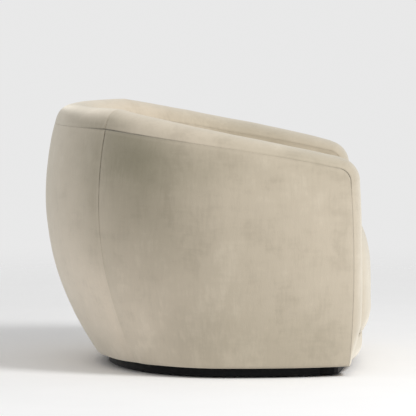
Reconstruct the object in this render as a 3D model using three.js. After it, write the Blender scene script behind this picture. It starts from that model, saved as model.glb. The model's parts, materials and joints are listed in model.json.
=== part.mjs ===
// Cuddle chair: a wide barrel armchair with a loose seat cushion, on a recessed black plinth.
// Millimetres, +Z up, the front faces -Y, and the origin is on the floor under the middle of the chair.
// Right and left are the sitter's: right is -X, left is +X.

import * as THREE from 'three';

// Overall form
const sideHalf = 590; // widest half width, at bulgeZ
const backReach = 510; // from planCentreY back to the fullest point of the back
const frontReach = 667; // long half of the front half-ellipse that the sides follow
const planCentreY = -60;
const hemZ = 26; // lower edge of the upholstery
const bulgeZ = 455;
const sideTuck = 43; // how far the sides draw in from bulgeZ to hemZ
const backTuck = 144;
const sideLean = 35; // how far the sides draw in from bulgeZ to rearSeamZ
const backLean = 25;

// Arm fronts
const armFrontY = -390; // foremost line of the side panels
const armFrontZ = 290;
const armFrontDraw = 10; // how far the arm fronts draw back at armFrontSpan above or below
const armFrontSpan = 250;

// Seams and top band
const cornerAngle = THREE.MathUtils.degToRad(44); // vertical seams between back and sides
const rearSeamZ = 660;
const seamFall = 108; // drop of the outer seam from the back to the arm fronts
const fallStraightShare = 0.78;
const seamCornerRadius = 40;
const rearCrown = 52; // rise of the top band above its seams
const frontCrown = 26;
const faceCrown = 24; // swell of the arm fronts
const hemCrown = 6;
const hemCrownTopZ = 150;
const bandEdge = 4;
const crownRoundPower = 2.2;
const crownSwellPower = 0.6;
const crownFallPower = 0.7; // how early the crown sinks along the arm

// Inner tub: the wall's thickness at seat level and under the top band
const armWall = 175;
const backWall = 245;
const armBandWidth = 105;
const backBandWidth = 110;
const innerReachExtra = 233; // how much longer the inside's front half-ellipse is
const reclineZ = 400; // where the inside starts to lean out
const reclinePower = 1.5;

// Upholstery and clearances
const outerPad = 22;
const armPad = 42;
const backPadExtra = 13;
const seamGap = 0.6;
const flatFit = 0.3; // between flat faces that touch
const shellFit = 1.4; // between curved layers that touch
const linerSpace = 5; // room behind the inner pads for straps and liners

// Plinth and base
const glideHeight = 3.7;
const glideRadius = 16;
const plinthInset = 30;
const plinthWidth = 45;
const plinthSetback = 44; // from the arm fronts back to the plinth's front corners
const plinthBow = 37;
const plinthCornerRadius = 24;
const hemLap = 4; // how far the covers reach below the base boards
const boardThickness = 18;
const boardWidth = 85;
const frontBoardDepth = 112;
const dustGap = 5; // from the plinth in to the dust cover
const dustThickness = 0.8;

// Seat frame
const railHeight = 40;
const railLedge = 26; // how far the seat rails reach in under the cushion
const frontRailDepth = 55;
const ribThickness = 18;
const armRibShare = 0.42; // place of the front rib between middle rib and arm front
const ribSearchAngle = 0.3;
const ribSearchHalvings = 40;
const postThickness = 40;
const topRailThickness = 18;
const railNoseLength = 16;
const blockLeg = 58;
const blockInset = 3;

// Springs, straps and liners
const springCount = 6;
const springMargin = 135; // from the outermost springs to the seat's sides
const springWire = 4;
const springSwing = 20; // half width of a spring's bends
const springBends = 11;
const springSetIn = 16; // overlap of a spring's ends on the rails
const strapHalfWidth = 26;
const strapThickness = 2;
const strapFit = 1.15; // from the straps to the back pad
const strapHeightShares = [0.26, 0.47, 0.74]; // of the height from seat rail to top rail
const linerRise = 15; // from the pads' lower edge up to the liners
const linerTopMargin = 34;
const linerThickness = 2;

// Seat deck and cushion
const deckThickness = 4;
const deckInset = 8;
const deckLap = 23; // how far the deck reaches over the front rail
const cushionClearance = 4;
const cushionOverhang = 60; // past the arm fronts
const cushionTopZ = 408; // where the sides turn into the crown
const cushionCrown = 24;
const cushionFoot = 24; // draw-in at the lower edge
const cushionShoulder = 40; // draw-in at the upper edge
const cushionFootShare = 0.14;
const cushionShoulderShare = 0.4;
const cushionShoulderPower = 2.6;
const cushionBowShare = 0.092;
const deckBowShare = 0.03;
const dustBowShare = 0.02;
const cornerSharpness = 10;
const crownRingShares = [0.92, 0.8, 0.6, 0.4, 0.2]; // of the way from the cushion's middle to its edge

// Front rail cover
const coverSetback = 2;
const coverBow = 40;
const coverFit = 1.9; // below the cushion
const coverTuck = 15;
const coverTuckHeight = 34;
const coverLip = 4;
const coverLipDepth = 10;

// Places and levels that follow from the sizes above
const seatHalf = sideHalf - armWall;
const seatBack = backReach - backWall; // from planCentreY back to the inner back at seat level
const topHalf = sideHalf - sideLean - armBandWidth;
const topBack = backReach - backLean - backBandWidth;
const innerFrontReach = frontReach + innerReachExtra;
const plinthFrontY = armFrontY + plinthSetback;
const baseFrontBackY = armFrontY + frontBoardDepth;
const dustInset = plinthInset + plinthWidth + dustGap;
const dustFrontY = plinthFrontY + plinthWidth + dustGap;
const frontRailBackY = armFrontY + frontRailDepth;
const springPitch = (seatHalf - springMargin) * 2 / (springCount - 1);
const deckFrontY = frontRailBackY - deckLap;
const cushionFrontY = armFrontY - cushionOverhang;
const coverEndY = armFrontY + coverSetback;
const baseZ = hemZ + hemLap; // underside of the base boards
const plinthBottomZ = glideHeight + flatFit;
const plinthTopZ = baseZ - flatFit;
const frameZ = baseZ + boardThickness + flatFit;
const railTopZ = baseZ + boardThickness + railHeight;
const springZ = railTopZ + flatFit + springWire / 2;
const deckZ = springZ + springWire / 2 + flatFit;
const cushionZ = deckZ + deckThickness + flatFit;
const padBottomZ = railTopZ + flatFit * 2;
const linerBottomZ = padBottomZ + linerRise;
const coverTopZ = cushionZ - coverFit;
const bandFit = seamGap / 2;
const frontSeamZ = rearSeamZ - seamFall;
const seamStartY = planCentreY + (backReach - backLean) * Math.sin(cornerAngle);
const seamRun = seamStartY - armFrontY;

const { clamp, lerp } = THREE.MathUtils;
const planCentre = new THREE.Vector2(0, planCentreY);

// Plan of the outer surface: a half-ellipse behind planCentreY and a longer one before it.
function bulge(z, full, tuck, lean) {
  if (z < bulgeZ) return full - tuck * ((bulgeZ - z) / (bulgeZ - hemZ)) ** 2;
  return full - lean * ((z - bulgeZ) / (rearSeamZ - bulgeZ)) ** 2;
}

function outerPoint(angle, z) {
  const reach = Math.sin(angle) > 0 ? bulge(z, backReach, backTuck, backLean) : frontReach;
  const side = bulge(z, sideHalf, sideTuck, sideLean);
  return new THREE.Vector2(side * Math.cos(angle), planCentreY + reach * Math.sin(angle));
}

// Plan of the inner tub: upright beside the cushion, then leaning out to the top band.
function innerPoint(angle, z) {
  const recline = clamp((z - reclineZ) / (rearSeamZ - reclineZ), 0, 1) ** reclinePower;
  const side = lerp(seatHalf, topHalf, recline);
  const back = lerp(seatBack, topBack, recline);
  const sine = Math.sin(angle);
  if (sine > 0) return new THREE.Vector2(side * Math.cos(angle), planCentreY + back * sine);
  const ahead = frontReach * sine;
  const narrowing = Math.sqrt(1 - (ahead / innerFrontReach) ** 2);
  return new THREE.Vector2(side * narrowing * Math.sign(Math.cos(angle)), planCentreY + ahead);
}

// A point in the tub's wall, so far in from the outer surface or out from the inner one.
function fromOutside(angle, z, depth) {
  const outer = outerPoint(angle, z);
  const inward = innerPoint(angle, z).sub(outer).normalize();
  return outer.addScaledVector(inward, depth);
}

function fromInside(angle, z, depth) {
  const inner = innerPoint(angle, z);
  const outward = outerPoint(angle, z).sub(inner).normalize();
  return inner.addScaledVector(outward, depth);
}

function padDepth(angle) {
  return armPad + backPadExtra * Math.max(0, Math.sin(angle)) ** 2;
}

// The arm fronts bulge forward a little between hem and top.
function frontLineY(z) {
  return armFrontY + armFrontDraw * ((z - armFrontZ) / armFrontSpan) ** 2;
}

function angleAtY(y) {
  const reach = y > planCentreY ? backReach - backLean : frontReach;
  return Math.asin((y - planCentreY) / reach);
}

// Height of the outer seam along the arm, with its rounded corner at the arm front.
function fallAt(y) {
  return clamp((seamStartY - y) / seamRun, 0, 1);
}

function seamZ(y) {
  const run = fallAt(y);
  return rearSeamZ - seamFall * (fallStraightShare * run + (1 - fallStraightShare) * run ** 3);
}

const seamSlope = Math.atan(seamFall * (3 - 2 * fallStraightShare) / seamRun);
const cornerFrontY = frontLineY(frontSeamZ - seamCornerRadius);
const cornerY = cornerFrontY + seamCornerRadius;
const tangentY = cornerY - seamCornerRadius * Math.sin(seamSlope);
const cornerZ = seamZ(tangentY) - seamCornerRadius * Math.cos(seamSlope);

function bandBaseZ(y) {
  if (y > tangentY) return seamZ(y);
  return cornerZ + Math.sqrt(Math.max(0, seamCornerRadius ** 2 - (cornerY - y) ** 2));
}

function seamY(angle) {
  return outerPoint(angle, rearSeamZ).y;
}

function topRailBottomZ(y) {
  return seamZ(y) - bandFit - seamGap - topRailThickness;
}

const startCrowding = 1.3;

// Geometry: a slab has an outside and an inside grid, joined along their four edges.
function steps(count) {
  return Array.from({ length: count + 1 }, (_, i) => i / count);
}

function towardsEnds(count) {
  return steps(count).map((t) => (1 - Math.cos(Math.PI * t)) / 2);
}

function towardsStart(count) {
  return steps(count).map((t) => t ** startCrowding);
}

function closedGeometry(points, index) {
  let volume = 0;
  for (let i = 0; i < index.length; i += 3) {
    const [a, b, c] = [points[index[i]], points[index[i + 1]], points[index[i + 2]]];
    volume += a.dot(b.clone().cross(c));
  }
  if (volume < 0) {
    for (let i = 0; i < index.length; i += 3) [index[i], index[i + 1]] = [index[i + 1], index[i]];
  }
  const geometry = new THREE.BufferGeometry().setFromPoints(points);
  geometry.setIndex(index);
  geometry.computeVertexNormals();
  return geometry;
}

function slab(us, vs, pointAt) {
  const points = [];
  for (const face of [0, 1]) {
    for (const u of us) for (const v of vs) points.push(pointAt(u, v, face));
  }
  const index = [];
  const id = (i, j, face) => (face * us.length + i) * vs.length + j;
  const quad = (a, b, c, d) => index.push(a, b, c, a, c, d);
  for (let i = 0; i < us.length - 1; i++) {
    for (let j = 0; j < vs.length - 1; j++) {
      quad(id(i, j, 0), id(i + 1, j, 0), id(i + 1, j + 1, 0), id(i, j + 1, 0));
      quad(id(i, j, 1), id(i, j + 1, 1), id(i + 1, j + 1, 1), id(i + 1, j, 1));
    }
  }
  for (let i = 0; i < us.length - 1; i++) {
    for (const j of [0, vs.length - 1]) {
      const [a, b, c, d] = [id(i, j, 0), id(i, j, 1), id(i + 1, j, 1), id(i + 1, j, 0)];
      if (j) quad(a, d, c, b);
      else quad(a, b, c, d);
    }
  }
  for (let j = 0; j < vs.length - 1; j++) {
    for (const i of [0, us.length - 1]) {
      const [a, b, c, d] = [id(i, j, 0), id(i, j + 1, 0), id(i, j + 1, 1), id(i, j, 1)];
      if (i) quad(a, d, c, b);
      else quad(a, b, c, d);
    }
  }
  return closedGeometry(points, index);
}

// A body made of closed rings of points, capped by a fan at each end.
function ringBody(rings, startCap, endCap) {
  const count = rings[0].length;
  const points = [...rings.flat(), startCap, endCap];
  const [start, end] = [points.length - 2, points.length - 1];
  const last = (rings.length - 1) * count;
  const index = [];
  for (let k = 0; k < count; k++) {
    const next = (k + 1) % count;
    index.push(start, next, k, end, last + k, last + next);
    for (let ring = 0; ring < rings.length - 1; ring++) {
      const [a, b] = [ring * count, (ring + 1) * count];
      index.push(a + k, a + next, b + next, a + k, b + next, b + k);
    }
  }
  return closedGeometry(points, index);
}

function mirrored(geometry) {
  const copy = geometry.clone();
  copy.scale(-1, 1, 1);
  const index = copy.getIndex();
  for (let i = 0; i < index.count; i += 3) {
    const first = index.getX(i);
    index.setX(i, index.getX(i + 1));
    index.setX(i + 1, first);
  }
  copy.computeVertexNormals();
  return copy;
}

const at = (plan, z) => new THREE.Vector3(plan.x, plan.y, z);

// Materials
const finishes = {
  velvet: { color: 0xc9bda3, roughness: 0.92, metalness: 0 },
  plinth: { color: 0x17171a, roughness: 0.55, metalness: 0 },
  nylon: { color: 0x2a2a2c, roughness: 0.5, metalness: 0 },
  plywood: { color: 0xcfae7c, roughness: 0.75, metalness: 0 },
  beech: { color: 0xd8b98c, roughness: 0.7, metalness: 0 },
  steel: { color: 0x9a9c9f, roughness: 0.35, metalness: 0.9 },
  webbing: { color: 0x3b3a38, roughness: 0.95, metalness: 0 },
  felt: { color: 0x8e8a82, roughness: 1, metalness: 0 },
  cambric: { color: 0x161616, roughness: 1, metalness: 0 },
  fibreboard: { color: 0xa98e68, roughness: 0.9, metalness: 0 },
};

const frameGroup = new THREE.Group();
const cushionGroup = new THREE.Group();

function add(group, name, finish, geometry) {
  const mesh = new THREE.Mesh(geometry, new THREE.MeshStandardMaterial(finishes[finish]));
  mesh.name = name;
  group.add(mesh);
}

function addPair(name, finish, geometry) {
  add(frameGroup, `${name}_left`, finish, geometry);
  add(frameGroup, `${name}_right`, finish, mirrored(geometry));
}

const halfGapAngle = seamGap / 2 / sideHalf;
const backStart = cornerAngle + halfGapAngle;
const backEnd = Math.PI - backStart;
const sideEnd = cornerAngle - halfGapAngle;

// Plinth: four black boards that follow the hem, set in, on nylon glides
function plinthFrontLine(x) {
  const half = outerPoint(angleAtY(plinthFrontY), hemZ).x - plinthInset;
  const fromCorner = half - Math.abs(x);
  const bow = plinthBow * (1 - (x / half) ** 2);
  const rounded = Math.max(0, plinthCornerRadius - fromCorner);
  const cut = plinthCornerRadius - Math.sqrt(plinthCornerRadius ** 2 - rounded ** 2);
  return plinthFrontY - bow + cut;
}

function addPlinth() {
  const layer = (face) => plinthInset + face * plinthWidth;
  const level = (v) => lerp(plinthBottomZ, plinthTopZ, v);
  const sideFront = angleAtY(plinthFrontY + plinthWidth + seamGap);
  addPair('plinth_side', 'plinth', slab(steps(14), [0, 1], (u, v, face) => {
    const angle = lerp(sideFront, sideEnd, u);
    return at(fromOutside(angle, hemZ, layer(face)), level(v));
  }));
  add(frameGroup, 'plinth_back', 'plinth', slab(steps(16), [0, 1], (u, v, face) => {
    const angle = lerp(backStart, backEnd, u);
    return at(fromOutside(angle, hemZ, layer(face)), level(v));
  }));
  const half = outerPoint(angleAtY(plinthFrontY), hemZ).x - plinthInset;
  add(frameGroup, 'plinth_front', 'plinth', slab(towardsEnds(20), [0, 1], (u, v, face) => {
    const x = lerp(-half, half, u);
    const y = face ? plinthFrontY + plinthWidth : plinthFrontLine(x);
    return new THREE.Vector3(x, y, level(v));
  }));
}

function addGlides() {
  const middle = plinthInset + plinthWidth / 2;
  const places = {
    front: angleAtY(plinthFrontY + plinthWidth * 2),
    middle: 0,
    back: (cornerAngle + Math.PI / 2) / 2,
  };
  for (const [name, angle] of Object.entries(places)) {
    const glide = new THREE.CylinderGeometry(glideRadius, glideRadius, glideHeight, 20);
    glide.rotateX(Math.PI / 2);
    const place = fromOutside(angle, hemZ, middle);
    glide.translate(place.x, place.y, glideHeight / 2);
    addPair(`glide_${name}`, 'nylon', glide);
  }
}

// Base: plywood boards under the whole wall, closed below by a dust cover
function addBase() {
  const boardPoint = (angle, v, width) => (
    at(fromOutside(angle, hemZ, outerPad + shellFit + width), lerp(baseZ, baseZ + boardThickness, v)));
  addPair('base_board', 'plywood', slab(steps(14), [0, 1], (u, v, face) => {
    const front = angleAtY(frontLineY(baseZ) + shellFit);
    const angle = lerp(front, sideEnd, u);
    const edge = fromOutside(angle, hemZ, outerPad + shellFit);
    const besideCover = edge.y < frontRailBackY ? edge.x - coverHalf() - flatFit : boardWidth;
    return boardPoint(angle, v, face * Math.min(boardWidth, besideCover));
  }));
  add(frameGroup, 'base_board_back', 'plywood', slab(steps(16), [0, 1], (u, v, face) => (
    boardPoint(lerp(backStart, backEnd, u), v, face * boardWidth))));
  const inset = outerPad + shellFit + boardWidth + seamGap;
  add(frameGroup, 'base_board_front', 'plywood', slab(steps(12), [0, 1], (u, v, face) => {
    const reach = fromOutside(angleAtY(armFrontY), hemZ, inset).x;
    const x = lerp(-reach, reach, u);
    const y = face ? baseFrontBackY : coverInnerY(x) + shellFit;
    return new THREE.Vector3(x, y, lerp(baseZ, baseZ + boardThickness, v));
  }));
}

function addDustCover() {
  const outline = planOutline(
    sideHalf - sideTuck - dustInset, backReach - backTuck - dustInset, frontReach,
    dustFrontY, dustBowShare);
  const bottom = baseZ - flatFit - dustThickness;
  add(frameGroup, 'dust_cover', 'cambric', plate(outline, bottom, dustThickness));
}

// A rounded plan outline as points round planCentreY: half-ellipses cut by a bowed front line.
function planOutline(side, back, front, frontY, bowShare, count = 48) {
  return Array.from({ length: count }, (_, k) => {
    const angle = k / count * Math.PI * 2;
    const [c, s] = [Math.cos(angle), Math.sin(angle)];
    const wall = 1 / Math.hypot(c / side, s / (s > 0 ? back : front));
    if (s >= 0) return new THREE.Vector2(c, s).multiplyScalar(wall);
    const line = (planCentreY - frontY) / -s * (1 - bowShare * c ** 2);
    const radius = (wall ** -cornerSharpness + line ** -cornerSharpness) ** (-1 / cornerSharpness);
    return new THREE.Vector2(c, s).multiplyScalar(radius);
  });
}

function ringAt(outline, inset, z) {
  return outline.map((point) => {
    const radius = point.length();
    const placed = point.clone().multiplyScalar((radius - inset) / radius);
    return new THREE.Vector3(placed.x, placed.y + planCentreY, z);
  });
}

function plate(outline, z, thickness) {
  const levels = [z, z + thickness];
  return ringBody(
    levels.map((level) => ringAt(outline, 0, level)),
    ...levels.map((level) => new THREE.Vector3(0, planCentreY, level)));
}

// Frame: flat ribs cut to the wall's profile, posts in the arm fronts and a top rail.
// A rib's face lies half its thickness to one side of a plane through the plan's centre,
// so the plan angle of each edge point is found by halving the range that holds it.
function angleOnPlane(edge, across, offset, guess) {
  let low = guess - ribSearchAngle;
  let high = guess + ribSearchAngle;
  for (let k = 0; k < ribSearchHalvings; k++) {
    const middle = (low + high) / 2;
    if (edge(middle).sub(planCentre).dot(across) < offset) low = middle;
    else high = middle;
  }
  return low;
}

const ribAngles = {
  arm_front_rib: angleAtY(armFrontY) * armRibShare,
  arm_middle_rib: 0,
  arm_rear_rib: cornerAngle / 2,
  corner_rib: cornerAngle,
  back_rib: (cornerAngle + Math.PI) / 3, // a third of the way between the two corners
};

function addRib(name, angle) {
  const outward = outerPoint(angle, bulgeZ).sub(planCentre).normalize();
  const across = new THREE.Vector2(-outward.y, outward.x);
  const outerEdge = (a, z) => fromOutside(a, z, outerPad + shellFit);
  const innerEdge = (a, z) => fromInside(a, z, padDepth(a) + linerSpace);
  const angleAt = (side, face, z) => angleOnPlane(
    (a) => (face ? innerEdge : outerEdge)(a, z), across, (side - 1 / 2) * ribThickness, angle);
  const nearTop = topRailBottomZ(seamY(angle));
  const top = (side) => Math.min(...[0, 1].map((face) => (
    topRailBottomZ(seamY(angleAt(side, face, nearTop)))))) - flatFit;
  addPair(name, 'plywood', slab([0, 1], steps(12), (u, v, face) => {
    const z = lerp(frameZ, top(u), v);
    return at((face ? innerEdge : outerEdge)(angleAt(u, face, z), z), z);
  }));
}

function addFrontPosts() {
  const frontY = Math.max(frontLineY(frameZ), frontLineY(cornerZ)) + shellFit;
  addPair('arm_front_post', 'beech', slab(steps(4), steps(9), (u, v, face) => {
    const y = frontY + u * postThickness;
    const top = Math.min(bandBaseZ(y) - shellFit, topRailBottomZ(y) - flatFit);
    const z = lerp(frameZ, top, v);
    if (face) return at(fromInside(angleAtY(y), z, armPad + linerSpace), z);
    return at(fromOutside(angleAtY(y), z, outerPad + shellFit), z);
  }));
}

function addTopRails() {
  const railPoint = (angle, v, face) => {
    const y = seamY(angle);
    const top = Math.min(bandBaseZ(y), seamZ(y)) - bandFit - seamGap;
    const outer = fromOutside(angle, seamZ(y), outerPad + shellFit);
    const inner = fromInside(angle, seamZ(y), padDepth(angle) + shellFit);
    return at(outer.lerp(inner, v), face ? topRailBottomZ(y) : top);
  };
  const frontAngle = angleAtY(cornerFrontY + railNoseLength);
  addPair('arm_top_rail', 'plywood', slab(towardsStart(18), steps(2), (u, v, face) => (
    railPoint(lerp(frontAngle, sideEnd, u), v, face))));
  add(frameGroup, 'back_top_rail', 'plywood', slab(steps(18), steps(2), (u, v, face) => (
    railPoint(lerp(backStart, backEnd, u), v, face))));
}

// Seat rails, glue blocks and the sinuous springs that span them
function railSide(angle, face) {
  return fromInside(angle, railTopZ, face ? -railLedge : padDepth(angle) + linerSpace - shellFit);
}

function addSeatRails() {
  const level = (v) => lerp(frameZ, railTopZ, v);
  const sideFront = angleAtY(frontRailBackY + flatFit);
  addPair('seat_rail_side', 'beech', slab(steps(12), [0, 1], (u, v, face) => (
    at(railSide(lerp(sideFront, sideEnd, u), face), level(v)))));
  add(frameGroup, 'seat_rail_back', 'beech', slab(steps(14), [0, 1], (u, v, face) => (
    at(railSide(lerp(backStart, backEnd, u), face), level(v)))));
  const half = fromInside(angleAtY(armFrontY), railTopZ, armPad + linerSpace).x - flatFit;
  add(frameGroup, 'seat_rail_front', 'beech', slab(steps(14), [0, 1], (u, v, face) => {
    const x = lerp(-half, half, u);
    return new THREE.Vector3(x, face ? frontRailBackY : coverInnerY(x) + shellFit, level(v));
  }));
}

function addCornerBlocks() {
  const backY = frontRailBackY + flatFit * 2;
  const beside = (y) => fromInside(angleAtY(y), railTopZ, -railLedge - flatFit * 2);
  const corner = beside(backY);
  const outline = new THREE.Shape([
    corner, beside(backY + blockLeg), new THREE.Vector2(corner.x - blockLeg, backY),
  ]);
  const depth = railHeight - blockInset * 2;
  const block = new THREE.ExtrudeGeometry(outline, { depth, bevelEnabled: false });
  block.translate(0, 0, frameZ + blockInset);
  const indexed = new THREE.BufferGeometry();
  indexed.setAttribute('position', block.getAttribute('position'));
  indexed.setIndex(Array.from({ length: block.getAttribute('position').count }, (_, i) => i));
  addPair('corner_block', 'beech', indexed);
}

// A sinuous spring: round wire that swings from side to side between the front and back rails.
function addSprings() {
  for (let k = 0; k < springCount; k++) {
    const x = (k - (springCount - 1) / 2) * springPitch;
    const startY = frontRailBackY - springSetIn;
    const reach = seatHalf - railLedge + springSetIn;
    const endY = fromInside(Math.acos((Math.abs(x) + springSwing) / reach), railTopZ, -railLedge).y;
    const route = steps(springBends * 4).map((t) => {
      const ease = Math.min(1, Math.min(t, 1 - t) * springBends * 2);
      const swing = springSwing * ease * Math.sin(t * springBends * Math.PI);
      return new THREE.Vector3(x + swing, lerp(startY, endY + springSetIn, t), springZ);
    });
    const wire = new THREE.Shape();
    wire.absarc(0, 0, springWire / 2, 0, Math.PI * 2);
    const spring = new THREE.ExtrudeGeometry(wire, {
      curveSegments: 3, steps: springBends * 3, bevelEnabled: false,
      extrudePath: new THREE.CatmullRomCurve3(route),
    });
    add(frameGroup, `seat_spring_${k + 1}`, 'steel', spring);
  }
}

// Straps behind the inner back and liners behind the inner arms
function addSupports() {
  const start = cornerAngle - ribThickness / 2 / topHalf;
  const backRailZ = rearSeamZ - bandFit - seamGap - topRailThickness;
  for (const [k, share] of strapHeightShares.entries()) {
    const middle = lerp(railTopZ, backRailZ, share);
    add(frameGroup, `back_strap_${k + 1}`, 'webbing', slab(steps(18), steps(2), (u, v, face) => {
      const angle = lerp(start, Math.PI - start, u);
      const z = middle + lerp(-strapHalfWidth, strapHalfWidth, v);
      const depth = padDepth(angle) + strapFit + face * strapThickness;
      return at(fromInside(angle, z, depth), z);
    }));
  }
  const linerEnd = start - ribThickness / seatHalf;
  addPair('arm_liner', 'fibreboard', slab(steps(12), steps(7), (u, v, face) => {
    const front = angleAtY(cornerFrontY + armFrontDraw);
    const angle = lerp(front, linerEnd, u);
    const top = topRailBottomZ(seamY(angle)) - linerTopMargin;
    const z = lerp(linerBottomZ, top, v);
    return at(fromInside(angle, z, padDepth(angle) + shellFit + face * linerThickness), z);
  }));
}

// Outer covers: two side panels with a rounded upper front corner, and the back panel
function addOuterPanels() {
  addPair('outer_side_panel', 'velvet', slab(towardsStart(16), steps(10), (u, v, face) => {
    const guess = lerp(hemZ, cornerZ, v);
    const front = angleAtY(frontLineY(guess) + seamGap);
    const angle = lerp(front, sideEnd, u);
    const z = lerp(hemZ, bandBaseZ(seamY(angle)) - seamGap, v);
    return at(fromOutside(angle, z, face * outerPad), z);
  }));
  add(frameGroup, 'outer_back_panel', 'velvet', slab(steps(18), steps(10), (u, v, face) => {
    const z = lerp(hemZ, rearSeamZ - seamGap, v);
    return at(fromOutside(lerp(backStart, backEnd, u), z, face * outerPad), z);
  }));
}

// Inner covers: thick pads on the inner arms and the inner back
function addInnerPads() {
  const padPoint = (angle, z, face) => at(fromInside(angle, z, face * padDepth(angle)), z);
  addPair('inner_arm_pad', 'velvet', slab(towardsStart(14), steps(9), (u, v, face) => {
    const guess = lerp(padBottomZ, cornerZ, v);
    const angle = lerp(angleAtY(frontLineY(guess) + seamGap), sideEnd, u);
    return padPoint(angle, lerp(padBottomZ, bandBaseZ(seamY(angle)) - seamGap, v), face);
  }));
  add(frameGroup, 'inner_back_pad', 'velvet', slab(steps(18), steps(9), (u, v, face) => (
    padPoint(lerp(backStart, backEnd, u), lerp(padBottomZ, rearSeamZ - seamGap, v), face))));
}

// Top band: a domed strip over the wall. On each arm it runs forward, turns down at the
// rounded corner and covers the arm front to the hem.
const acrossShares = [0, 0.05, 0.18, 0.38, 0.62, 0.82, 0.95, 1];

function dome(across) {
  return (1 - Math.abs(2 * across - 1) ** crownRoundPower) ** crownSwellPower;
}

function bandPoint(station, across, face) {
  const { angle, z, tilt, rise } = station;
  const base = outerPoint(angle, z).lerp(innerPoint(angle, z), across);
  const lift = face ? 0 : bandEdge + (rise - bandEdge) * dome(across);
  return new THREE.Vector3(base.x, base.y - lift * Math.sin(tilt), z + lift * Math.cos(tilt));
}

function bandStations() {
  const stations = [];
  const tangentAngle = angleAtY(tangentY);
  for (const u of steps(12)) {
    const angle = lerp(sideEnd, tangentAngle, u);
    const y = seamY(angle);
    const z = seamZ(y);
    const run = fallAt(y);
    const rise = lerp(rearCrown, frontCrown, run ** crownFallPower);
    stations.push({ angle, z, tilt: seamSlope * run, rise });
  }
  for (const u of steps(6).slice(1)) {
    const tilt = lerp(seamSlope, Math.PI / 2, u);
    const z = cornerZ + seamCornerRadius * Math.cos(tilt);
    const angle = angleAtY(cornerY - seamCornerRadius * Math.sin(tilt));
    stations.push({ angle, z, tilt, rise: lerp(frontCrown, faceCrown, u) });
  }
  for (const u of steps(8).slice(1)) {
    const z = lerp(cornerZ, hemZ, u);
    const swell = THREE.MathUtils.smoothstep(z, hemZ, hemCrownTopZ);
    const angle = angleAtY(frontLineY(z));
    stations.push({ angle, z, tilt: Math.PI / 2, rise: lerp(hemCrown, faceCrown, swell) });
  }
  return stations;
}

function addTopBand() {
  const stations = bandStations();
  addPair('arm_band', 'velvet', slab(stations.keys().toArray(), acrossShares, (u, v, face) => (
    bandPoint(stations[u], v, face))));
  add(frameGroup, 'back_band', 'velvet', slab(steps(18), acrossShares, (u, v, face) => {
    const angle = lerp(backStart, backEnd, u);
    return bandPoint({ angle, z: rearSeamZ, tilt: 0, rise: rearCrown }, v, face);
  }));
}

// Front rail cover: bowed, swelling forward, tucked in at the hem
function coverLineY(x) {
  return coverEndY - coverBow * (1 - (x / seatHalf) ** 2);
}

function coverInnerY(x) {
  return coverLineY(Math.min(Math.abs(x), seatHalf)) + outerPad;
}

function coverHalf() {
  return innerPoint(angleAtY(armFrontY), hemZ).x - seamGap;
}

function addFrontCover() {
  const half = coverHalf();
  add(frameGroup, 'front_rail_cover', 'velvet', slab(steps(14), steps(6), (u, v, face) => {
    const x = lerp(-half, half, u);
    const z = lerp(hemZ, coverTopZ, v);
    if (face) return new THREE.Vector3(x, coverInnerY(x), z);
    const tuck = coverTuck * Math.max(0, 1 - (z - hemZ) / coverTuckHeight) ** 2;
    const lip = coverLip * Math.max(0, (z - coverTopZ + coverLipDepth) / coverLipDepth) ** 2;
    return new THREE.Vector3(x, coverLineY(x) + tuck + lip, z);
  }));
}

// Seat deck and the loose seat cushion with its drawn-in edges and crown
function addDeck() {
  const outline = planOutline(
    seatHalf - deckInset, seatBack - deckInset, innerFrontReach, deckFrontY, deckBowShare);
  add(frameGroup, 'seat_deck_pad', 'felt', plate(outline, deckZ, deckThickness));
}

function addCushion() {
  const outline = planOutline(
    seatHalf - cushionClearance, seatBack - cushionClearance, innerFrontReach,
    cushionFrontY, cushionBowShare);
  const rings = steps(11).map((share) => {
    const foot = cushionFoot * Math.max(0, 1 - share / cushionFootShare) ** 2;
    const rise = Math.max(0, share - cushionShoulderShare) / (1 - cushionShoulderShare);
    const inset = foot + cushionShoulder * rise ** cushionShoulderPower;
    return ringAt(outline, inset, lerp(cushionZ, cushionTopZ, share));
  });
  for (const share of crownRingShares) {
    const crown = ringAt(outline, cushionShoulder, cushionTopZ + cushionCrown * (1 - share ** 2));
    rings.push(crown.map((p) => new THREE.Vector3(
      p.x * share, planCentreY + (p.y - planCentreY) * share, p.z)));
  }
  add(cushionGroup, 'seat_cushion', 'velvet', ringBody(
    rings,
    new THREE.Vector3(0, planCentreY, cushionZ),
    new THREE.Vector3(0, planCentreY, cushionTopZ + cushionCrown)));
}

addPlinth();
addGlides();
addBase();
addDustCover();
addFrontPosts();
for (const [name, angle] of Object.entries(ribAngles)) addRib(name, angle);
addTopRails();
addSeatRails();
addCornerBlocks();
addSprings();
addSupports();
addOuterPanels();
addInnerPads();
addTopBand();
addFrontCover();
addDeck();
addCushion();

const chair = new THREE.Group();
chair.add(frameGroup, cushionGroup);
export default chair;
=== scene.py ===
import json
import math
from types import SimpleNamespace

import bpy
import numpy as np
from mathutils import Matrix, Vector, kdtree, noise


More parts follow.
